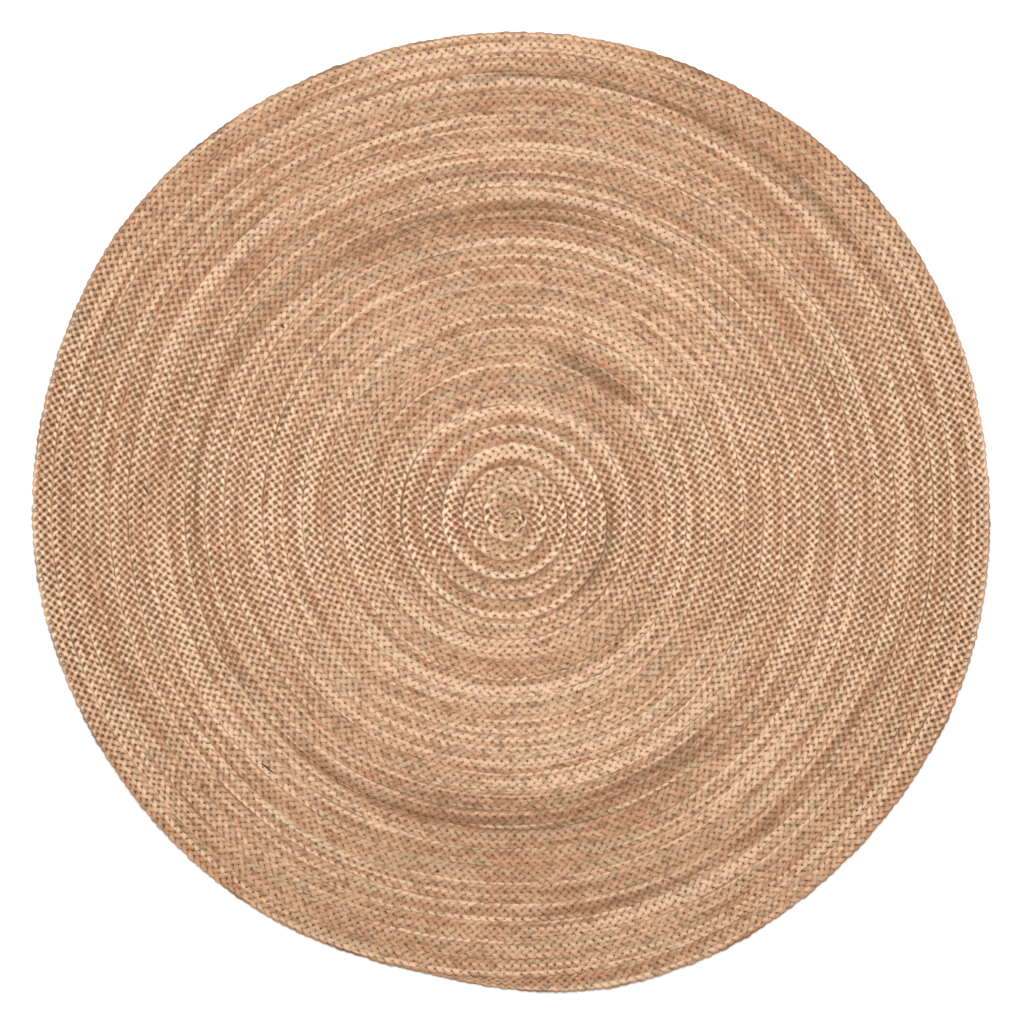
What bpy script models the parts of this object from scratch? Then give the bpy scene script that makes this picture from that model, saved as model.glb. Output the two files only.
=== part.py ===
"""A round jute rug: one flat five-strand braid, wound clockwise in a spiral and sewn round to round.

The rug is one flat solid. Its top follows the winding braid, with a groove along each sewn seam. Its
rim is the braid's own outer side, and it draws in where the braid's end is tapered and tucked. Units
are metres and degrees, with +Z up and the floor at z = 0.
"""

import math

import bmesh
import bpy
from mathutils import Vector

# The winding
BRAID_WIDTH = 0.0289  # one round, where the braid lies easily
FIRST_ROUNDS_SPREAD = 0.042  # what the tight first rounds take up beyond that, all together
SPREAD_ROUNDS = 11.0  # how slowly that spread dies away, in rounds
ROUNDS = 25 + 1 / 12
STEPS_PER_ROUND = 60
END_ANGLE = 252.0  # where the braid ends on the rim, counterclockwise from +X
END_TAPER = 32.0  # how much of the last round narrows towards the end

# The section of one round, which is flat on top and falls to a seam on either side
BRAID_HEIGHT = 0.0100
SEAM_HEIGHT = 0.0068
INNER_SHOULDER, OUTER_SHOULDER = 0.24, 0.76  # the sides of its flat top, as shares of its width
FIRST_ROUNDS_LEAN = 0.0016  # bent tight, the braid leans in: its inner shoulder lies this much lower
LEAN_ROUNDS = 5.0  # how slowly that lean dies away, in rounds
RIM_SHOULDER_INSET, RIM_SHOULDER_HEIGHT = 0.0034, 0.0084
RIM_HEIGHT = 0.0044  # where the rim stands furthest out
RIM_FOOT_INSET = 0.0022  # how far the flat underside stops short of the rim

# A round laid by hand isn't true. Each row swells the rug by a share of its radius, once or more
# times round it.
Swell = tuple[int, float, float]
SWELLS: tuple[Swell, ...] = (
    # times round, share of the radius, angle of a crest
    (1, 0.0180, 106.0),
    (2, 0.0018, 158.0),
    (3, 0.0022, 50.0),
    (4, 0.0018, 48.0),
    (7, 0.0022, 33.0),
)

JUTE_COLOUR = (0.539, 0.323, 0.195, 1.0)
JUTE_ROUGHNESS = 0.92

STEPS = round(ROUNDS * STEPS_PER_ROUND)
LAST_ROUND = STEPS - STEPS_PER_ROUND


def angle_at(step):
    """The direction from the rug's middle at a step of the winding, which runs clockwise."""
    return math.radians(END_ANGLE) + math.tau * (STEPS - step) / STEPS_PER_ROUND


def swell_at(angle):
    return 1 + sum(
        share * math.cos(times * (angle - math.radians(crest))) for times, share, crest in SWELLS
    )


def outer_side(step):
    """The radius of the braid's outer side, before its end is narrowed."""
    turns = max(step, 0) / STEPS_PER_ROUND
    spread = FIRST_ROUNDS_SPREAD * (1 - math.exp(-turns / SPREAD_ROUNDS))
    return (BRAID_WIDTH * turns + spread) * swell_at(angle_at(step))


def inner_side(step):
    return outer_side(step - STEPS_PER_ROUND)


def narrowing(step):
    """The share of the braid's width that is left at a step: 1 until the tapered end, then down to 0."""
    to_go = (STEPS - step) * 360 / STEPS_PER_ROUND / END_TAPER
    to_go = min(to_go, 1.0)
    return to_go * to_go * (3 - 2 * to_go)


def rim(step):
    return inner_side(step) + narrowing(step) * (outer_side(step) - inner_side(step))


def place(step, radius, height):
    angle = angle_at(step)
    return Vector((radius * math.cos(angle), radius * math.sin(angle), height))


def shoulder(step, share, lean):
    """A side of the braid's flat top, which sinks to the seam where the braid starts and ends narrow."""
    inner, outer = inner_side(step), rim(step)
    fullness = min((outer - inner) / BRAID_WIDTH, 1.0)
    height = BRAID_HEIGHT - lean * math.exp(-step / STEPS_PER_ROUND / LEAN_ROUNDS)
    return place(step, inner + share * (outer - inner), SEAM_HEIGHT + fullness * (height - SEAM_HEIGHT))


def add_face(mesh, corners):
    """A face over its corners, leaving out one that stands twice."""
    distinct = list(dict.fromkeys(corners))
    if len(distinct) > 2:
        mesh.faces.new(distinct)


def add_band(mesh, first, second, steps):
    """The strip of faces between two lines of points."""
    for at in range(steps):
        add_face(mesh, (first[at], first[at + 1], second[at + 1], second[at]))


def build_rug():
    mesh = bmesh.new()
    centre = mesh.verts.new(place(0, 0, SEAM_HEIGHT))
    seam = [
        mesh.verts.new(place(step, outer_side(step), SEAM_HEIGHT)) for step in range(1, LAST_ROUND + 1)
    ]
    seam = [centre, *seam]
    end = seam[LAST_ROUND]  # the braid's end comes back to where its last round starts
    inner_shoulder, outer_shoulder = (
        [centre, *[mesh.verts.new(shoulder(step, share, lean)) for step in range(1, STEPS)], end]
        for share, lean in ((INNER_SHOULDER, FIRST_ROUNDS_LEAN), (OUTER_SHOULDER, 0))
    )
    rim_shoulder = [
        mesh.verts.new(place(step, rim(step) - RIM_SHOULDER_INSET * narrowing(step), RIM_SHOULDER_HEIGHT))
        for step in range(LAST_ROUND + 1, STEPS)
    ]
    rim_shoulder = [end, *rim_shoulder, end]
    rim_line, foot_line = (
        [mesh.verts.new(place(step, rim(step) - inset, height)) for step in range(LAST_ROUND, STEPS)]
        for inset, height in ((0, RIM_HEIGHT), (RIM_FOOT_INSET, 0))
    )

    add_band(mesh, [centre] * STEPS_PER_ROUND + seam, inner_shoulder, STEPS)
    add_band(mesh, inner_shoulder, outer_shoulder, STEPS)
    add_band(mesh, outer_shoulder, seam, LAST_ROUND)
    add_band(mesh, outer_shoulder[LAST_ROUND:], rim_shoulder, STEPS_PER_ROUND)
    add_band(mesh, rim_shoulder, [*rim_line, rim_line[0]], STEPS_PER_ROUND)
    add_band(mesh, [*rim_line, rim_line[0]], [*foot_line, foot_line[0]], STEPS_PER_ROUND)
    mesh.faces.new(foot_line)

    bmesh.ops.recalc_face_normals(mesh, faces=mesh.faces)
    centre_on_footprint(mesh)
    return mesh


def centre_on_footprint(mesh):
    """Moves the rug so that the middle of its footprint stands at the origin."""
    across = [vert.co.x for vert in mesh.verts]
    along = [vert.co.y for vert in mesh.verts]
    middle = Vector(((min(across) + max(across)) / 2, (min(along) + max(along)) / 2, 0))
    bmesh.ops.translate(mesh, verts=mesh.verts, vec=-middle)


def jute_material():
    material = bpy.data.materials.new("jute")
    material.use_nodes = True
    shader = material.node_tree.nodes["Principled BSDF"]
    shader.inputs["Base Color"].default_value = JUTE_COLOUR
    shader.inputs["Roughness"].default_value = JUTE_ROUGHNESS
    shader.inputs["Metallic"].default_value = 0.0
    return material


def main():
    for old in list(bpy.data.objects):
        bpy.data.objects.remove(old, do_unlink=True)
    mesh = build_rug()
    data = bpy.data.meshes.new("braided_rug")
    mesh.to_mesh(data)
    mesh.free()
    data.materials.append(jute_material())
    data.shade_smooth()
    rug = bpy.data.objects.new("braided_rug", data)
    bpy.context.collection.objects.link(rug)


main()
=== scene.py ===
"""The looks of a round jute rug, laid out as a Blender add-on and run as a script.

Five soft jute strands are plaited into one long flat braid, which is wound clockwise in a spiral from
the middle of the rug and sewn round to round. Each strand is a tube that goes over and under its
neighbours, so the face, the back and the rim of the rug are the braid itself. A thin bed of matted
fibre and sewing thread lies inside the braid, dark as painted shade in the gaps between the strands,
and loose fibres stand out of it. Units are metres.
"""

import math

import bpy
import numpy as np
from bpy.props import FloatProperty, FloatVectorProperty, IntProperty, PointerProperty
from bpy.types import Operator, Panel, PropertyGroup
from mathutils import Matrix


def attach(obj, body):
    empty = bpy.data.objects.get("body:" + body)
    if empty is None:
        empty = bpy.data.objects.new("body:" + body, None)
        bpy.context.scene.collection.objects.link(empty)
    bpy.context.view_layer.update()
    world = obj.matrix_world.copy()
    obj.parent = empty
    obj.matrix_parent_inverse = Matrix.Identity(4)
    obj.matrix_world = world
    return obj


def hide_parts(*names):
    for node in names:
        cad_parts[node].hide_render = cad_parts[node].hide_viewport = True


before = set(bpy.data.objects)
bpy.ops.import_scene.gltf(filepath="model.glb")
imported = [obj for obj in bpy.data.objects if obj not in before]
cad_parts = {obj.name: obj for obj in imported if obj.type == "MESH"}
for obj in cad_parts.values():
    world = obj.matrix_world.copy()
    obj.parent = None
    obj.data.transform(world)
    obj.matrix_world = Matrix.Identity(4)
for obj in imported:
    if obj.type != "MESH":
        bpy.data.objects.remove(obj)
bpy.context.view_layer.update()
BODY = "root"
NODE = "braided_rug"

bl_info = {
    "name": "Round jute rug",
    "version": (1, 0, 0),
    "blender": (4, 5, 0),
    "location": "3D View > Sidebar > Jute rug",
    "description": "Plaits five jute strands, winds the braid into a round rug and lays it on a pale floor",
    "category": "Add Mesh",
}

# How five strands are plaited. A beat is half a stitch along the braid.
STRANDS = 5
BEATS_ACROSS = 5  # a strand crosses the braid from side to side in five beats
OVER_UNDER = (1.0, -1.0, 1.0, -1.0, 0.0, 1.0)  # its height at each of them; at 0 it turns at the side
OUTER_ROW = 1.5  # the outer row of crossings, counted in rows from the braid's middle
TURN_REACH = 0.55  # how far past that row a strand turns, in rows
ROWS_TO_SIDE = 2.14  # rows from the braid's middle to its side
START_TURNS = 0.32  # where the braid's start is folded in, in rounds from the middle

SIDES = 5  # of a strand's section
RINGS_PER_BEAT = 2
ROLL_PER_CROSSING = math.tau / SIDES / 2  # puts an edge of the section on top at each crossing
NEARBY = 0.2  # beats before and after a ring, between which its direction is taken
BAKE_ROWS = 56  # a strand's flat map is folded into so many rows

RIM_POINTS = 1440  # round the rim, where its middle is found
LENGTH_POINTS = 40000  # along the winding, where its length is measured
END_GAP = 0.004  # of a round at the very end, where the braid is too narrow to plait
BED_POINTS = 180  # round the edge of the bed
BED_RINGS = (1.0, 0.8, 0.6, 0.4, 0.2)  # the bed's rings of points, in shares of its radius

# Arcs of the winding where the jute is browner than elsewhere, or paler where the depth is negative.
TONES = (
    # rounds from the middle, half its width in rounds, middle of the arc and half of it in degrees, depth
    (4.9, 0.45, 345, 50, 0.7),
    (5.3, 0.30, 190, 60, 0.4),
    (8.2, 0.60, 58, 24, 0.9),
    (11.0, 3.0, 250, 360, -0.25),
    (15.9, 0.22, 215, 110, 0.75),
    (15.0, 0.90, 285, 60, 0.6),
    (15.2, 1.10, 95, 50, 0.55),
    (17.2, 0.30, 80, 60, 0.5),
    (20.6, 0.30, 300, 60, 0.6),
    (22.3, 0.25, 65, 60, 0.7),
    (20.9, 0.12, 165, 50, -0.8),
    (18.4, 0.14, 90, 60, -0.7),
    (24.6, 0.35, 205, 22, 0.9),
    (12.3, 0.15, 160, 50, 0.5),
)

# A round laid by hand isn't true. Each row swells the rug by a share of its radius.
SWELLS = (
    # times round, share of the radius, angle of a crest in degrees
    (1, 0.0180, 106.0),
    (2, 0.0018, 158.0),
    (3, 0.0022, 50.0),
    (4, 0.0018, 48.0),
    (7, 0.0022, 33.0),
)

# Loose fibres. What isn't one number is drawn between two bounds.
FIRST_FIBRE = 8  # beats from the braid's start to the first fibre on the face
FACE_SHARE, RIM_SHARE = (0.1, 0.9), 0.97  # where a fibre stands, in shares across its round
FACE_LENGTH, RIM_LENGTH = (0.008, 0.022), (0.004, 0.012)
FACE_ROOT, RIM_ROOT = 0.0085, (0.002, 0.0085)  # the height of its root
FACE_ARCH, RIM_ARCH = (0.0014, 0.0028), (-0.0006, 0.001)  # how far it arches over its root
RIM_SLANT = (0.1, 1.45)  # the angle at the rim between a fibre and the way straight out
ARCH_ANGLE = 2.6  # the stretch of a sine wave that the arch follows, in radians
FIBRE_POINTS = 4
FIBRE_SIDES = 3
FIBRE_TAPER = 0.6  # the share of its radius that a fibre loses towards its tip

# Dark bits of jute stalk that were plaited in.
STALK_RADIUS = 0.0014
STALK_HEIGHT = 0.0098  # of a bit's middle over the floor
STALK_DIP = 0.0035  # how far its ends dip into the braid
STALK_BEND = 0.5
STALK_BLUNTNESS = 1.05  # what it has over 1 keeps its ends from being points
STALK_SHEEN = 2.2  # how many times brighter than bark its brightest fibre is
STALK_POINTS = 6
STALK_SIDES = 6
STALK_BITS = (
    # x, y, the way it lies in degrees, length
    (-0.569, 0.034, 120, 0.011),
    (-0.576, 0.011, 70, 0.009),
    (-0.356, 0.289, 140, 0.010),
    (-0.380, -0.399, 318, 0.030),
    (0.165, -0.205, 20, 0.007),
    (0.610, -0.150, 80, 0.006),
    (-0.130, 0.520, 10, 0.006),
    (0.395, 0.330, 150, 0.006),
    (-0.115, -0.560, 200, 0.007),
)

# The stage.
FLOOR_REACH = 8.0
FLOOR_HEIGHT = -0.0003
FLOOR_GREY = 0.93
KEY_SHIFT = 0.5  # of the light overhead towards the far side
KEY_SIZES = (2.2, 1.6)


class WindingSizes(PropertyGroup):
    """How the braid is wound into a rug."""

    braid_width: FloatProperty(
        name="Braid width",
        description="One round, where the braid lies easily",
        default=0.0289,
        unit="LENGTH",
    )
    first_spread: FloatProperty(
        name="First rounds' spread",
        description="What the tight first rounds take up beyond the braid's width, all together",
        default=0.042,
        unit="LENGTH",
    )
    spread_rounds: FloatProperty(
        name="Spread rounds", description="How slowly that spread dies away, in rounds", default=11.0
    )
    rounds: FloatProperty(
        name="Rounds", description="Rounds from the middle to the rim", default=25 + 1 / 12
    )
    end_angle: FloatProperty(
        name="End angle",
        description="Where the braid ends on the rim",
        default=math.radians(252),
        subtype="ANGLE",
    )
    end_taper: FloatProperty(
        name="End taper",
        description="How much of the last round narrows towards the end",
        default=math.radians(32),
        subtype="ANGLE",
    )
    stitch: FloatProperty(
        name="Stitch",
        description="From one crossing to the next along a row",
        default=0.0134,
        unit="LENGTH",
    )


class StrandSizes(PropertyGroup):
    """The section of a strand and how it lies in the braid."""

    width: FloatProperty(
        name="Width", description="Across a strand where it lies on top", default=0.0083, unit="LENGTH"
    )
    dive: FloatProperty(
        name="Dive", description="The share of that width that is left between two crossings", default=0.7
    )
    thickness: FloatProperty(
        name="Thickness", description="Through a strand where it lies on top", default=0.0051, unit="LENGTH"
    )
    rise: FloatProperty(
        name="Rise", description="How far a strand goes up and down", default=0.0025, unit="LENGTH"
    )
    middle_height: FloatProperty(
        name="Middle height", description="The braid's middle over the floor", default=0.0053, unit="LENGTH"
    )
    proud_side: FloatProperty(
        name="Proud side",
        description="How far the outer side of the tight first rounds stands up",
        default=0.0045,
        unit="LENGTH",
    )
    proud_rounds: FloatProperty(
        name="Proud rounds", description="How slowly that dies away, in rounds", default=4.5
    )
    matted: FloatProperty(
        name="Matted",
        description="How far the rug is matted at its far and near parts: 0 not at all, 1 most",
        default=1.0,
        min=0.0,
        max=1.0,
    )


def colour_property(name, description, colour):
    return FloatVectorProperty(name=name, description=description, default=colour, subtype="COLOR", size=3)


class JuteColours(PropertyGroup):
    """The colours of the jute, from the palest fibre to the darkest."""

    # pale is laid on the crowns partly as wear and partly as a painted highlight; it also paints the pale
    # ridge and streaks
    pale: colour_property("Pale", "Bleached straw, where a strand lies on top", (0.86, 0.62, 0.42))
    tan: colour_property("Tan", "Most of the jute", (0.58, 0.34, 0.20))
    russet: colour_property("Russet", "Redder stretches", (0.45, 0.23, 0.125))
    olive: colour_property("Olive", "Greenish stretches", (0.50, 0.36, 0.225))
    # deep is the painted shade between the strands and on the fibre bed, and the darkest end of the browner
    # tones
    deep: colour_property("Deep", "Between the strands", (0.115, 0.055, 0.025))
    bark: colour_property("Bark", "Dark bits of stalk", (0.03, 0.02, 0.012))


class StageSizes(PropertyGroup):
    """The floor, the light and the camera."""

    view_width: FloatProperty(
        name="View width", description="What the camera sees across", default=1.600, unit="LENGTH"
    )
    lens: FloatProperty(name="Lens", description="Focal length in millimetres", default=100.0)
    key_power: FloatProperty(
        name="Key light", description="Power of the soft light overhead", default=95.0
    )
    key_height: FloatProperty(
        name="Key height", description="From the floor to the light overhead", default=3.0, unit="LENGTH"
    )
    sky: FloatProperty(name="Sky", description="Brightness of the light all round", default=0.62)


class RugSettings(PropertyGroup):
    """All that a user would change."""

    winding: PointerProperty(type=WindingSizes)
    strand: PointerProperty(type=StrandSizes)
    jute: PointerProperty(type=JuteColours)
    stage: PointerProperty(type=StageSizes)
    seed: IntProperty(name="Seed", description="Another rug of the same make", default=7)


# The winding


class Winding:
    """The spiral of the braid, the same as the solid's. Places along it are in rounds from the middle."""

    def __init__(self, sizes):
        self.sizes = sizes
        self.middle = np.zeros(2)
        rim = self.place(*self.rim_line(RIM_POINTS))
        self.middle = (rim.min(axis=0) + rim.max(axis=0)) / 2
        self.measure_braid()

    def direction(self, turns):
        return self.sizes.end_angle + math.tau * (self.sizes.rounds - turns)

    def outer_side(self, turns):
        """The radius of the braid's outer side, before its end is narrowed."""
        angle = self.direction(turns)
        turns = np.maximum(turns, 0)
        swell = 1 + sum(
            share * np.cos(times * (angle - math.radians(crest))) for times, share, crest in SWELLS
        )
        spread = self.sizes.first_spread * (1 - np.exp(-turns / self.sizes.spread_rounds))
        return (self.sizes.braid_width * turns + spread) * swell

    def narrowing(self, turns):
        """The share of the braid's width that is left: 1 until the tapered end, then down to 0."""
        to_go = np.clip((self.sizes.rounds - turns) * math.tau / self.sizes.end_taper, 0, 1)
        return to_go * to_go * (3 - 2 * to_go)

    def sides(self, turns):
        inner = self.outer_side(turns - 1)
        return inner, inner + self.narrowing(turns) * (self.outer_side(turns) - inner)

    def rim_line(self, points):
        turns = np.linspace(self.sizes.rounds - 1, self.sizes.rounds, points, endpoint=False)
        return turns, self.sides(turns)[1]

    def place(self, turns, radius):
        angle = self.direction(turns)
        return np.stack([radius * np.cos(angle), radius * np.sin(angle)], axis=-1) - self.middle

    def measure_braid(self):
        """Finds the length along the braid's middle, and so where each beat of the plait falls."""
        turns = np.linspace(START_TURNS, self.sizes.rounds - END_GAP, LENGTH_POINTS)
        inner, outer = self.sides(turns)
        steps = np.diff(self.place(turns, (inner + outer) / 2), axis=0)
        along = np.concatenate([[0], np.cumsum(np.hypot(*steps.T))])
        self.length = along[-1]
        self.beats = int(self.length / (self.sizes.stitch / 2))
        self.beat_turns = np.interp(np.linspace(0, self.length, self.beats + 1), along, turns)

    def turns_at(self, beats):
        return np.interp(beats, np.arange(self.beats + 1), self.beat_turns)


# The plait


def across(beats):
    """Where a strand lies across the braid, in rows from the middle, turning softly at either side."""
    sweep = (beats + 1) % (2 * BEATS_ACROSS)
    rows = np.minimum(sweep, 2 * BEATS_ACROSS - sweep) - BEATS_ACROSS / 2
    past = np.maximum(np.abs(rows) - OUTER_ROW, 0)
    return np.sign(rows) * (np.minimum(np.abs(rows), OUTER_ROW) + past - (1 - TURN_REACH) * past * past)


def height(beats):
    """How high a strand lies, from 1 on top of the braid to -1 under it."""
    level = np.interp(beats % BEATS_ACROSS, range(BEATS_ACROSS + 1), OVER_UNDER)
    return np.sin(level * math.pi / 2)


def roll(beats):
    """How far a strand has rolled over. It rolls from one crossing to the next, once less at each turn."""
    crossings = np.interp(beats % BEATS_ACROSS, range(BEATS_ACROSS + 1), (0, 1, 2, 3, 3.5, 4))
    return ROLL_PER_CROSSING * (crossings + (beats // BEATS_ACROSS) * (BEATS_ACROSS - 1))


def drift(rng, beats, every, size):
    """A slow random drift along the braid, as a function of the beat."""
    knots = np.arange(-every, beats + 2 * every, every)
    values = rng.normal(0, size, len(knots))
    return lambda at: np.interp(at, knots, values)


def smooth(value, low, high):
    """0 up to low, 1 from high on, and smooth between them."""
    share = np.clip((value - low) / (high - low), 0, 1)
    return share * share * (3 - 2 * share)


class Plait:
    """One strand of the braid, as functions of the beat."""

    MATTED_FROM = (0.2, 0.87)  # sines of the direction where matting starts and where it's full
    MATTED_RISE = 0.55  # the share of its rise that a strand loses where matting is full
    MATTED_WIDTH = 0.45  # the share of its width that it gains there
    SLIM_SIDE = (0.7, 0.86)  # shares across the braid, between which a strand slims to turn
    SLIMMING = 0.1
    DIVE_THICKNESS = 0.1  # the share of its thickness that it gains between two crossings
    LEAST_CRUSH, CRUSH_POWER = 0.18, 0.7
    # The next three shape the crown value, and so where the jute's painted shade falls between the strands.
    DEEP_SIDE = (0.74, 0.86)  # shares across the braid, between which a turn comes to lie deep
    TURN_DEPTH = 0.3
    SLOPE_DEPTH = 0.34  # how much a point counts as deeper where its strand goes down
    RIDGE_ROUNDS = (4.0, 8.0)  # rounds between which the pale ridge fades away
    RIDGE_INSIDE, RIDGE_OUTSIDE = (0.6, 0.82), (0.97, 1.1)  # its two sides, in shares across the round
    TONE_CORE = 0.3  # the share of an arc that has its full depth of tone

    def __init__(self, winding, sizes, number, seed):
        self.winding, self.sizes, self.lag = winding, sizes, 2 * number
        rng = np.random.default_rng([seed, number])
        self.sway = drift(rng, winding.beats, every=3, size=0.0006)
        self.lift = drift(rng, winding.beats, every=4, size=0.00028)
        self.fullness = drift(rng, winding.beats, every=5, size=0.08)
        shared = np.random.default_rng(seed)  # what all the strands do together
        self.squeeze = drift(shared, winding.beats, every=23, size=0.025)
        self.tilt = drift(shared, winding.beats, every=41, size=0.0004)

    def share(self, beats):
        """Where the strand lies across the braid, from -1 at the inner side to 1 at the outer one."""
        return across(beats - self.lag) / ROWS_TO_SIDE * (1 + self.squeeze(beats))

    def matting(self, turns):
        """How matted the braid is: 0 at the rug's left and right, most at its far and near parts."""
        lengthwise = np.abs(np.sin(self.winding.direction(turns)))
        return self.sizes.matted * smooth(lengthwise, *self.MATTED_FROM)

    def pride(self, turns, share):
        """How far the tight first rounds stand up, most at their outer side."""
        fade = np.exp(-turns / self.sizes.proud_rounds)
        return self.sizes.proud_side * fade * np.maximum(0.5 + 0.5 * share, 0) ** 2

    def middle(self, beats):
        """The height of the braid's middle at this place across it."""
        share = self.share(beats)
        proud = self.pride(self.winding.turns_at(beats), share)
        return self.sizes.middle_height + proud + self.tilt(beats) * share

    def centre(self, beats):
        turns = self.winding.turns_at(beats)
        inner, outer = self.winding.sides(turns)
        radius = (inner + outer) / 2 + (outer - inner) / 2 * self.share(beats) + self.sway(beats)
        flat = self.winding.place(turns, radius)
        rise = self.sizes.rise * self.crush(turns) * (1 - self.MATTED_RISE * self.matting(turns))
        z = self.middle(beats) + height(beats - self.lag) * rise + self.lift(beats)
        return np.column_stack([flat, z])

    def crush(self, turns):
        """Strands are thinner where the braid is folded in at its start and tapered at its end."""
        inner, outer = self.winding.sides(turns)
        left = (outer - inner) / self.winding.sizes.braid_width
        return np.clip(left, self.LEAST_CRUSH, 1) ** self.CRUSH_POWER

    def section(self, beats):
        """Half the strand's width and thickness: flat and wide on top, rounder where it dives and turns."""
        level = np.abs(height(beats - self.lag))
        turns = self.winding.turns_at(beats)
        matting = self.matting(turns)
        crush = self.crush(turns) * (1 + self.fullness(beats))
        slim = self.sizes.dive + (1 - self.sizes.dive) * level
        slim = slim * (1 - self.SLIMMING * smooth(np.abs(self.share(beats)), *self.SLIM_SIDE))
        half_width = self.sizes.width / 2 * slim * (1 + self.MATTED_WIDTH * matting) * crush
        thick = 1 + self.DIVE_THICKNESS - self.DIVE_THICKNESS * level
        half_thickness = self.sizes.thickness / 2 * thick * crush
        return half_width, half_thickness

    def crown(self, beats, z):
        """How far out of the braid each point lies: 0 in the braid's middle, 1 on top of a crossing.
        The jute's colour takes painted shade where this is low, and a paler crown, partly painted
        highlight, where it is high.
        """
        top = self.sizes.rise + self.sizes.thickness / 2
        turn = smooth(np.abs(self.share(beats)), *self.DEEP_SIDE)
        slope = 1 - np.abs(height(beats - self.lag)) + self.TURN_DEPTH * turn
        return np.abs(z - self.middle(beats)[:, None]) / top - self.SLOPE_DEPTH * slope[:, None]

    def ridge(self, beats, share):
        """How much each point belongs to the pale ridge along the outer side of the first rounds."""
        turns = self.winding.turns_at(beats)[:, None]
        left = 1 - smooth(turns, *self.RIDGE_ROUNDS)
        return left * smooth(share, *self.RIDGE_INSIDE) * (1 - smooth(share, *self.RIDGE_OUTSIDE))

    def tone(self, beats, share):
        """How much browner than the rest each point is, from the table of tones."""
        turns = self.winding.turns_at(beats)
        angle = self.winding.direction(turns)
        rounds = turns[:, None] - 1 + share
        tone = np.zeros_like(share)
        for middle, half_width, facing, half_arc, depth in TONES:
            away = np.abs((np.degrees(angle) - facing + 180) % 360 - 180)
            along = 1 - smooth(away, self.TONE_CORE * half_arc, half_arc)
            tone += depth * along[:, None] * np.exp(-(((rounds - middle) / half_width) ** 2))
        return tone


def normalized(vectors):
    return vectors / np.linalg.norm(vectors, axis=-1, keepdims=True)


def tube_mesh(name, plait):
    """A closed tube along one strand, with a map of the yarn and a flat map folded into rows."""
    rings = plait.winding.beats * RINGS_PER_BEAT + 1
    beats = np.arange(rings) / RINGS_PER_BEAT
    centre = plait.centre(beats)
    forward = normalized(plait.centre(beats + NEARBY) - plait.centre(beats - NEARBY))
    side = normalized(np.cross(forward, (0, 0, 1)))
    top = np.cross(side, forward)
    half_width, half_thickness = plait.section(beats)
    angles = math.pi / 2 + roll(beats - plait.lag)[:, None] + math.tau * np.arange(SIDES) / SIDES
    points = (
        centre[:, None]
        + (half_width[:, None] * np.cos(angles))[..., None] * side[:, None]
        + (half_thickness[:, None] * np.sin(angles))[..., None] * top[:, None]
    )

    points[..., 2] = np.maximum(points[..., 2], 0)  # it rests on the floor

    ring, corner = (grid.ravel() for grid in np.mgrid[0 : rings - 1, 0:SIDES])
    after = (corner + 1) % SIDES
    here, ahead = ring * SIDES, (ring + 1) * SIDES
    quads = np.column_stack([here + corner, ahead + corner, ahead + after, here + after])
    caps = [list(range(SIDES)), list(range(rings * SIDES - 1, (rings - 1) * SIDES - 1, -1))]
    mesh = bpy.data.meshes.new(name)
    mesh.from_pydata(points.reshape(-1, 3), [], quads.tolist() + caps)

    steps = np.linalg.norm(np.diff(centre, axis=0), axis=1)
    along = np.concatenate([[0], np.cumsum(steps)])
    around = np.column_stack([corner, corner, corner + 1, corner + 1]) / SIDES
    yarn = np.stack([along[np.column_stack([ring, ring + 1, ring + 1, ring])], around], axis=-1)
    cap_yarn = np.column_stack([np.zeros(2 * SIDES), np.tile(np.arange(SIDES) / SIDES, 2)])
    set_map(mesh, "yarn", np.concatenate([yarn.reshape(-1, 2), cap_yarn]))
    set_map(mesh, "OFBake", folded_map(ring, around, rings))

    turns = plait.winding.turns_at(beats)
    inner, outer = plait.winding.sides(turns)
    radius = np.linalg.norm(points[..., :2] + plait.winding.middle, axis=-1)
    share = (radius - inner[:, None]) / (outer - inner)[:, None]
    along_braid = beats[:, None] * plait.winding.sizes.stitch / 2
    set_attribute(mesh, "round", "value", [np.repeat(turns, SIDES)])
    set_attribute(mesh, "lie", "vector", [share, along_braid, plait.crown(beats, points[..., 2])])
    matting = plait.matting(turns)[:, None]
    wear = [matting, plait.tone(beats, share), plait.ridge(beats, share)]
    set_attribute(mesh, "wear", "vector", wear)
    mesh.shade_smooth()
    return mesh


def folded_map(ring, around, rings):
    """Lays the tube's faces out in rows, one over another, with its two ends in a row of their own."""
    per_row = math.ceil((rings - 1) / (BAKE_ROWS - 1))
    row, place = ring // per_row, ring % per_row
    share = np.column_stack([place, place + 1, place + 1, place]) / per_row
    margin, pad, cap_radius = 0.004, 0.12, 0.35
    u = margin + share * (1 - 2 * margin)
    v = (row[:, None] + pad + around * (1 - 2 * pad)) / BAKE_ROWS
    angles = math.tau * np.arange(SIDES) / SIDES
    cap = np.column_stack([np.cos(angles), np.sin(angles)]) * cap_radius / BAKE_ROWS
    last = (BAKE_ROWS - 0.5) / BAKE_ROWS
    caps = [cap + (0.25, last), cap[::-1] + (0.75, last)]
    return np.concatenate([np.stack([u, v], axis=-1).reshape(-1, 2), *caps])


def set_map(mesh, name, places):
    mesh.uv_layers.new(name=name).data.foreach_set("uv", places.astype(np.float32).ravel())


def set_attribute(mesh, name, kind, parts):
    """Gives each point of a strand a number or a vector of three, which the shader reads."""
    values = np.stack(np.broadcast_arrays(*parts), axis=-1).astype(np.float32)
    data_type = {"value": "FLOAT", "vector": "FLOAT_VECTOR"}[kind]
    mesh.attributes.new(name, data_type, "POINT").data.foreach_set(kind, values.ravel())


# Shaders


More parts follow.
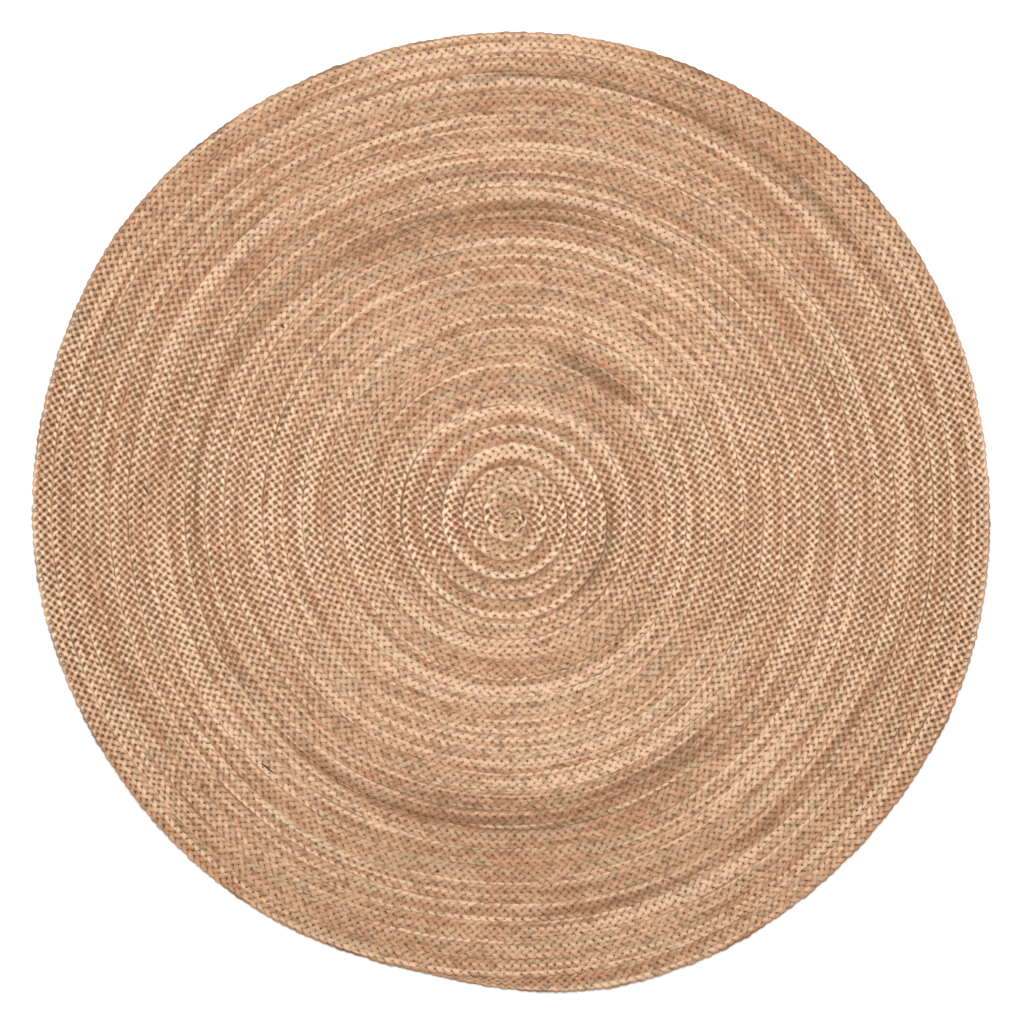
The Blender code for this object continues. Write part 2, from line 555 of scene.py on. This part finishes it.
class Value:
    """A shader socket that takes part in ordinary sums, each of which adds a Math node."""

    def __init__(self, tree, socket):
        self.tree, self.socket = tree, socket

    def math(self, operation, first, second):
        return self.tree.add("ShaderNodeMath", {"operation": operation}, {0: first, 1: second})

    def __add__(self, other):
        return self.math("ADD", self, other)

    __radd__ = __add__

    def __sub__(self, other):
        return self.math("SUBTRACT", self, other)

    def __rsub__(self, other):
        return self.math("SUBTRACT", other, self)

    def __mul__(self, other):
        return self.math("MULTIPLY", self, other)


class Tree:
    """A material's nodes, added one at a time."""

    def __init__(self, name):
        self.material = bpy.data.materials.new(name)
        self.material.use_nodes = True
        self.nodes = self.material.node_tree.nodes
        self.links = self.material.node_tree.links
        self.shader = self.nodes["Principled BSDF"]

    def add(self, kind, settings=None, sockets=None, output=0):
        node = self.nodes.new(kind)
        for name, setting in (settings or {}).items():
            setattr(node, name, setting)
        for name, value in (sockets or {}).items():
            self.feed(node.inputs[name], value)
        return Value(self, node.outputs[output])

    def feed(self, socket, value):
        if isinstance(value, Value):
            self.links.new(value.socket, socket)
        elif socket.type == "RGBA":
            socket.default_value = (*value, 1)
        else:
            socket.default_value = value

    def mix(self, factor, first, second):
        """A colour between two others."""
        return self.add("ShaderNodeMix", {"data_type": "RGBA"}, {0: factor, 6: first, 7: second}, output=2)

    def spread(self, value, low, high):
        """0 up to low, 1 from high on, and smooth between them."""
        settings = {"interpolation_type": "SMOOTHSTEP"}
        return self.add("ShaderNodeMapRange", settings, {"Value": value, "From Min": low, "From Max": high})

    def parts(self, vector):
        """The three numbers of a vector."""
        return [self.add("ShaderNodeSeparateXYZ", sockets={0: vector}, output=way) for way in range(3)]

    def attribute(self, name, output):
        return self.add("ShaderNodeAttribute", {"attribute_name": name}, output=output)

    def noise(self, where, scale, detail=2.0):
        sockets = {"Vector": where, "Scale": scale, "Detail": detail}
        return self.add("ShaderNodeTexNoise", {"noise_dimensions": "3D"}, sockets)

    def flat_noise(self, across, along, detail=2.0):
        where = self.add("ShaderNodeCombineXYZ", sockets={0: across, 1: along})
        sockets = {"Vector": where, "Scale": 1.0, "Detail": detail}
        return self.add("ShaderNodeTexNoise", {"noise_dimensions": "2D"}, sockets)

    def line_noise(self, where, detail=2.0):
        sockets = {"W": where, "Scale": 1.0, "Detail": detail}
        return self.add("ShaderNodeTexNoise", {"noise_dimensions": "1D"}, sockets)

    def finish(self, colour, roughness):
        self.feed(self.shader.inputs["Base Color"], colour)
        self.shader.inputs["Roughness"].default_value = roughness
        return self.material

    def bump(self, strength, distance, height):
        sockets = {"Strength": strength, "Distance": distance, "Height": height}
        self.feed(self.shader.inputs["Normal"], self.add("ShaderNodeBump", sockets=sockets))


def jute_material(name, colours, number):
    """Jute roving: fibres run along the strand, and its colour changes from one handful to the next."""
    tree = Tree(name)
    pale, tan, russet, olive, deep = (
        tuple(each) for each in (colours.pale, colours.tan, colours.russet, colours.olive, colours.deep)
    )
    yarn = tree.add("ShaderNodeUVMap", {"uv_map": "yarn"})
    along, around, _ = tree.parts(yarn)  # metres along the strand, and the share of the way round it
    share, metres, crown = tree.parts(tree.attribute("lie", output=1))
    matting, tone, ridge = tree.parts(tree.attribute("wear", output=1))
    turns = tree.attribute("round", output=2)

    # Noise along one strand, different in each of them.
    seed = 13.7 * (number + 1)
    angle = around * math.tau
    cosine = tree.add("ShaderNodeMath", {"operation": "COSINE"}, {0: angle})
    sine = tree.add("ShaderNodeMath", {"operation": "SINE"}, {0: angle})
    fibres = tree.add("ShaderNodeCombineXYZ", sockets={0: along * 55 + seed, 1: cosine * 4, 2: sine * 4})
    streak = tree.noise(fibres, scale=1.0, detail=3.0)
    handfuls = tree.line_noise(along * 5.5 + seed)
    wisps = tree.line_noise(along * 45 + seed * 3)

    # Noise over the face of the braid, the same for all its strands.
    rows = tree.flat_noise(share * 3.2, metres * 1.7, detail=1.0)
    patches = tree.flat_noise(share * 2.4 + 20, metres * 14)
    shades = tree.flat_noise(share * 1.6 + 40, metres * 5.5)
    holes = tree.flat_noise(share * 3.0 + 60, metres * 70, detail=1.0)
    breaks = tree.flat_noise(share * 3.5 + 80, metres * 5)
    tone = tone * tree.spread(breaks, 0.3, 0.62)

    # The jute's own colour.
    redness = handfuls * 0.25 + patches * 0.4 - rows * 0.35 + 0.35 + tone * 0.3 + matting * 0.02
    colour = tree.mix(tree.spread(redness, 0.46, 0.6), tan, russet)
    greenness = tree.spread(shades * 0.6 + handfuls * 0.4, 0.5, 0.62)
    colour = tree.mix(greenness * 0.6, colour, olive)

    # Paler on the crowns, partly from wear and partly as a painted highlight, along the ridge of the first
    # rounds and in streaks.
    blotches = tree.spread(wisps * 0.5 + shades * 0.5 - tone * 0.1, 0.3, 0.64)
    # Pale crowns: partly wear, partly painted highlight, weaker where the braid is matted.
    worn_and_lit = tree.spread(crown, 0.42, 0.98) * blotches
    colour = tree.mix(worn_and_lit * (0.9 - matting * 0.72), colour, pale)
    colour = tree.mix(ridge * tree.spread(crown, 0.0, 0.6) * 0.75, colour, pale)
    line = tree.spread(rows - tone * 0.25, 0.5, 0.7) * 0.5 + tree.spread(streak, 0.5, 0.75) * 0.2
    colour = tree.mix(line, colour, pale)

    # Painted shade: darker in the holes between strands and in dashes along the seams, with a painted
    # shadow on the inner side of the first rounds; browner where the tones say so.
    # Painted shade between the strands where the crown value is low, weaker where the braid is matted.
    depth = tree.spread(crown, 0.75, 0.1) * (0.33 - matting * 0.3) * tree.spread(patches, 0.75, 0.25)
    # Painted shade in dark spots at the holes between strands, stronger where the braid is matted.
    pit_shade = tree.spread(holes, 0.46, 0.76) * (0.25 + matting * 0.2)
    colour = tree.mix(depth + pit_shade, colour, deep)
    # Painted shadow in dashes along the seams between rounds.
    seam = tree.spread(share, 0.12, 0.0) + tree.spread(share, 0.88, 1.0)
    seam_shadows = tree.spread(tree.line_noise(metres * 9 + 7.7, detail=1.0) + tone * 0.2, 0.52, 0.66)
    colour = tree.mix(seam * seam_shadows * 0.5, colour, deep)
    # Painted shadow along the inner side of the first rounds, under the proud outer side of the round
    # before.
    trough_shadow = tree.spread(ridge, 0.3, 0.0) * tree.spread(share, 0.3, 0.0) * tree.spread(turns, 7.0, 4.0)
    # Browner where the tones say so, plus that painted shadow and a little darkening where the braid is
    # matted.
    tone_and_shadow = tree.spread(tone, 0.05, 0.7) * 0.42 + trough_shadow * 0.3 + matting * 0.1 + 0.02
    colour = tree.mix(tone_and_shadow, colour, deep)

    tree.shader.inputs["Specular IOR Level"].default_value = 0.25
    tree.bump(strength=0.4, distance=0.0005, height=streak)
    return tree.finish(colour, roughness=0.8)


def bed_shade_material(colours):
    """Matted fibre and sewing thread, darker than the strands as painted shade for the gaps between them.
    """
    tree = Tree("matted_fibre_painted_shade")
    place = tree.add("ShaderNodeTexCoord", output=3)
    mat = tree.noise(place, scale=260.0, detail=3.0)
    # The bed's deep colour is painted shade for the gaps between the strands.
    colour = tree.mix(tree.spread(mat, 0.35, 0.7) * 0.5, tuple(colours.deep), tuple(colours.russet))
    tree.bump(strength=0.6, distance=0.0008, height=mat)
    return tree.finish(colour, roughness=0.95)


def fibre_material(name, first, second, roughness):
    """Two colours in small patches."""
    tree = Tree(name)
    place = tree.add("ShaderNodeTexCoord", output=3)
    mottle = tree.noise(place, scale=300.0)
    return tree.finish(tree.mix(tree.spread(mottle, 0.35, 0.65), first, second), roughness)


# Pieces


def add_piece(context, name, mesh, material):
    piece = bpy.data.objects.new(name, mesh)
    mesh.materials.append(material)
    context.collection.objects.link(piece)
    return piece


class RUG_OT_plait_strands(Operator):
    """Plait the five strands along the winding"""

    bl_idname = "rug.plait_strands"
    bl_label = "Plait strands"

    def execute(self, context):
        settings = context.scene.rug
        winding = Winding(settings.winding)
        for number in range(STRANDS):
            name = f"jute_strand_{number + 1}"
            plait = Plait(winding, settings.strand, number, settings.seed)
            material = jute_material(name, settings.jute, number)
            piece = add_piece(context, name, tube_mesh(name, plait), material)
            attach(piece, BODY)
        return {"FINISHED"}


def disc_faces(count, rings, first, flip):
    """One side of a disc: rings of so many points from its edge inwards, and last its middle point."""
    middle = first + count * rings
    innermost = middle - count
    faces = []
    for at in range(count):
        after = (at + 1) % count
        for outer in range(first, innermost, count):
            inner = outer + count
            faces.append((outer + at, outer + after, inner + after, inner + at))
        faces.append((innermost + at, innermost + after, middle))
    return [face[::-1] for face in faces] if flip else faces


def area_inside(edge):
    after = np.roll(edge, -1, axis=0)
    return abs(float(np.sum(edge[:, 0] * after[:, 1] - edge[:, 1] * after[:, 0]))) / 2


class RUG_OT_lay_bed(Operator):
    """Lay the thin bed of matted fibre and sewing thread inside the braid, dark as painted shade in its
    gaps
    """

    bl_idname = "rug.lay_bed"
    bl_label = "Lay bed"

    inset: FloatProperty(
        name="Inset", description="How far it stops short of the rim", default=0.007, unit="LENGTH"
    )
    thickness: FloatProperty(
        name="Thickness", description="Through the bed", default=0.0012, unit="LENGTH"
    )

    def execute(self, context):
        settings = context.scene.rug
        winding = Winding(settings.winding)
        turns, radius = winding.rim_line(BED_POINTS)
        rings = [winding.place(turns, (radius - self.inset) * share) for share in BED_RINGS]
        flat = np.concatenate([*rings, [-winding.middle]])
        heights = [settings.strand.middle_height + way * self.thickness / 2 for way in (-1, 1)]
        layers = [np.column_stack([flat, np.full(len(flat), z)]) for z in heights]
        faces = disc_faces(BED_POINTS, len(BED_RINGS), 0, flip=False)
        faces += disc_faces(BED_POINTS, len(BED_RINGS), len(flat), flip=True)
        for at in range(BED_POINTS):
            after = (at + 1) % BED_POINTS
            faces.append((at, len(flat) + at, len(flat) + after, after))
        mesh = bpy.data.meshes.new("fibre_bed_shade")
        mesh.from_pydata(np.concatenate(layers).tolist(), [], faces)
        mesh.shade_smooth()
        bed = add_piece(context, "fibre_bed_shade", mesh, bed_shade_material(settings.jute))
        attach(bed, BODY)
        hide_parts(NODE)
        edge = rings[0]
        area = area_inside(edge)
        size = edge.max(axis=0) - edge.min(axis=0)
        return {"FINISHED"}


def thin_tubes(name, paths, radii, sides):
    """One mesh of closed tubes. Each path is a row of points, and the tubes share the radii along them."""
    count, points = paths.shape[:2]
    forward = normalized(np.gradient(paths, axis=1))
    side = normalized(np.cross(forward, (0, 0, 1)))
    top = np.cross(side, forward)
    angles = math.tau * np.arange(sides) / sides
    outwards = np.cos(angles)[:, None] * side[:, :, None] + np.sin(angles)[:, None] * top[:, :, None]
    corners = paths[:, :, None] + np.asarray(radii)[:, None, None] * outwards
    corners[..., 2] = np.maximum(corners[..., 2], 0)
    tube, ring, corner = (grid.ravel() for grid in np.mgrid[0:count, 0 : points - 1, 0:sides])
    base, after = (tube * points + ring) * sides, (corner + 1) % sides
    quads = np.column_stack([base + corner, base + sides + corner, base + sides + after, base + after])
    starts = np.arange(count)[:, None] * points * sides
    near = starts + np.arange(sides)
    far = starts + points * sides - 1 - np.arange(sides)
    mesh = bpy.data.meshes.new(name)
    mesh.from_pydata(corners.reshape(-1, 3), [], quads.tolist() + near.tolist() + far.tolist())
    mesh.shade_smooth()
    return mesh


def draws(rng, *groups):
    """Even random draws for one group after another, each given as its bounds and its number."""
    return np.concatenate([rng.uniform(low, high, number) for (low, high), number in groups])


class RUG_OT_add_loose_fibres(Operator):
    """Let loose fibres stand out of the face and the rim"""

    bl_idname = "rug.add_loose_fibres"
    bl_label = "Add loose fibres"

    on_face: IntProperty(name="On the face", description="Fibres on the face", default=1500)
    at_rim: IntProperty(name="At the rim", description="Fibres round the rim", default=1500)
    radius: FloatProperty(name="Radius", description="Of a fibre", default=0.00016, unit="LENGTH")

    def execute(self, context):
        settings = context.scene.rug
        winding = Winding(settings.winding)
        rng = np.random.default_rng([settings.seed, 100])
        face_turns = winding.turns_at(rng.uniform(FIRST_FIBRE, winding.beats, self.on_face))
        rim_turns = rng.uniform(winding.sizes.rounds - 1, winding.sizes.rounds, self.at_rim)
        turns = np.concatenate([face_turns, rim_turns])
        inner, outer = winding.sides(turns)
        share = np.concatenate([rng.uniform(*FACE_SHARE, self.on_face), np.full(self.at_rim, RIM_SHARE)])
        root = winding.place(turns, inner + (outer - inner) * share)

        face_facing = rng.uniform(0, math.tau, self.on_face)
        slant = rng.choice([-1, 1], self.at_rim) * rng.uniform(*RIM_SLANT, self.at_rim)
        rim_facing = winding.direction(rim_turns) + slant
        facing = np.concatenate([face_facing, rim_facing])
        length = draws(rng, (FACE_LENGTH, self.on_face), (RIM_LENGTH, self.at_rim))
        bend = rng.normal(0, 1.0, len(turns))
        start = np.concatenate([np.full(self.on_face, FACE_ROOT), rng.uniform(*RIM_ROOT, self.at_rim)])
        arch = draws(rng, (FACE_ARCH, self.on_face), (RIM_ARCH, self.at_rim))

        steps = np.linspace(0, 1, FIBRE_POINTS)
        heading = facing[:, None] + bend[:, None] * steps
        paths = np.empty((len(turns), FIBRE_POINTS, 3))
        paths[..., 0] = root[:, :1] + length[:, None] * steps * np.cos(heading)
        paths[..., 1] = root[:, 1:] + length[:, None] * steps * np.sin(heading)
        paths[..., 2] = start[:, None] + arch[:, None] * np.sin(steps * ARCH_ANGLE)
        radii = self.radius * (1 - FIBRE_TAPER * steps)
        mesh = thin_tubes("loose_fibres", paths, radii, FIBRE_SIDES)
        material = fibre_material("loose_fibre", tuple(settings.jute.tan), tuple(settings.jute.pale), 0.7)
        piece = add_piece(context, "loose_fibres", mesh, material)
        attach(piece, BODY)
        return {"FINISHED"}


class RUG_OT_catch_stalk_bits(Operator):
    """Catch a few dark bits of jute stalk in the braid"""

    bl_idname = "rug.catch_stalk_bits"
    bl_label = "Catch stalk bits"

    def execute(self, context):
        settings = context.scene.rug
        steps = np.linspace(-0.5, 0.5, STALK_POINTS)
        paths = np.empty((len(STALK_BITS), len(steps), 3))
        for row, (x, y, facing, length) in enumerate(STALK_BITS):
            heading = math.radians(facing) + STALK_BEND * steps * steps
            paths[row, :, 0] = x + length * steps * np.cos(heading)
            paths[row, :, 1] = y + length * steps * np.sin(heading)
            paths[row, :, 2] = STALK_HEIGHT - STALK_DIP * (2 * steps) ** 4
        radii = STALK_RADIUS * np.sqrt(STALK_BLUNTNESS - (2 * steps) ** 2)
        mesh = thin_tubes("stalk_bits", paths, radii, STALK_SIDES)
        dark = tuple(settings.jute.bark)
        material = fibre_material("stalk", dark, tuple(STALK_SHEEN * part for part in dark), 0.6)
        piece = add_piece(context, "stalk_bits", mesh, material)
        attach(piece, BODY)
        return {"FINISHED"}


class RUG_OT_set_stage(Operator):
    """Set the pale floor, the soft light and the camera"""

    bl_idname = "rug.set_stage"
    bl_label = "Set stage"

    def execute(self, context):
        stage = context.scene.rug.stage
        self.lay_floor(context)
        self.hang_lights(context, stage)
        self.place_camera(context, stage)
        context.scene.view_settings.view_transform = "Standard"
        return {"FINISHED"}

    def lay_floor(self, context):
        mesh = bpy.data.meshes.new("floor")
        corners = [(-1, -1), (1, -1), (1, 1), (-1, 1)]
        points = [(x * FLOOR_REACH, y * FLOOR_REACH, FLOOR_HEIGHT) for x, y in corners]
        mesh.from_pydata(points, [], [(0, 1, 2, 3)])
        material = Tree("pale_floor").finish([FLOOR_GREY] * 3, roughness=0.9)
        add_piece(context, "floor", mesh, material)

    def hang_lights(self, context, stage):
        world = bpy.data.worlds.new("soft_sky")
        world.use_nodes = True
        background = world.node_tree.nodes["Background"]
        background.inputs["Color"].default_value = (1, 1, 1, 1)
        background.inputs["Strength"].default_value = stage.sky
        context.scene.world = world
        lamp = bpy.data.lights.new("key_light", "AREA")
        lamp.shape = "RECTANGLE"
        lamp.size, lamp.size_y = KEY_SIZES
        lamp.energy = stage.key_power
        light = bpy.data.objects.new("key_light", lamp)
        light.location = (0, KEY_SHIFT, stage.key_height)
        light.rotation_euler = (-light.location).to_track_quat("-Z", "Y").to_euler()
        light.visible_camera = False
        context.collection.objects.link(light)

    def place_camera(self, context, stage):
        data = bpy.data.cameras.new("camera")
        data.lens = stage.lens
        camera = bpy.data.objects.new("camera", data)
        camera.location = (0, 0, stage.view_width * stage.lens / data.sensor_width)
        context.collection.objects.link(camera)
        context.scene.camera = camera


class RUG_PT_panel(Panel):
    """The rug's sizes and steps in the sidebar"""

    bl_idname = "RUG_PT_panel"
    bl_label = "Jute rug"
    bl_space_type = "VIEW_3D"
    bl_region_type = "UI"
    bl_category = "Jute rug"

    def draw(self, context):
        settings = context.scene.rug
        for group in (settings.winding, settings.strand, settings.jute, settings.stage):
            box = self.layout.box()
            for name in group.__annotations__:
                box.prop(group, name)
        self.layout.prop(settings, "seed")
        for operator in STEPS:
            self.layout.operator(operator.bl_idname)


STEPS = (
    RUG_OT_plait_strands,
    RUG_OT_lay_bed,
    RUG_OT_add_loose_fibres,
    RUG_OT_catch_stalk_bits,
    RUG_OT_set_stage,
)
CLASSES = (WindingSizes, StrandSizes, JuteColours, StageSizes, RugSettings, *STEPS, RUG_PT_panel)


def register():
    for each in CLASSES:
        bpy.utils.register_class(each)
    bpy.types.Scene.rug = PointerProperty(type=RugSettings)


def unregister():
    del bpy.types.Scene.rug
    for each in reversed(CLASSES):
        bpy.utils.unregister_class(each)


def main():
    register()
    bpy.ops.rug.plait_strands()
    bpy.ops.rug.lay_bed()
    bpy.ops.rug.add_loose_fibres()
    bpy.ops.rug.catch_stalk_bits()
    bpy.ops.rug.set_stage()


if __name__ == "__main__":
    main()
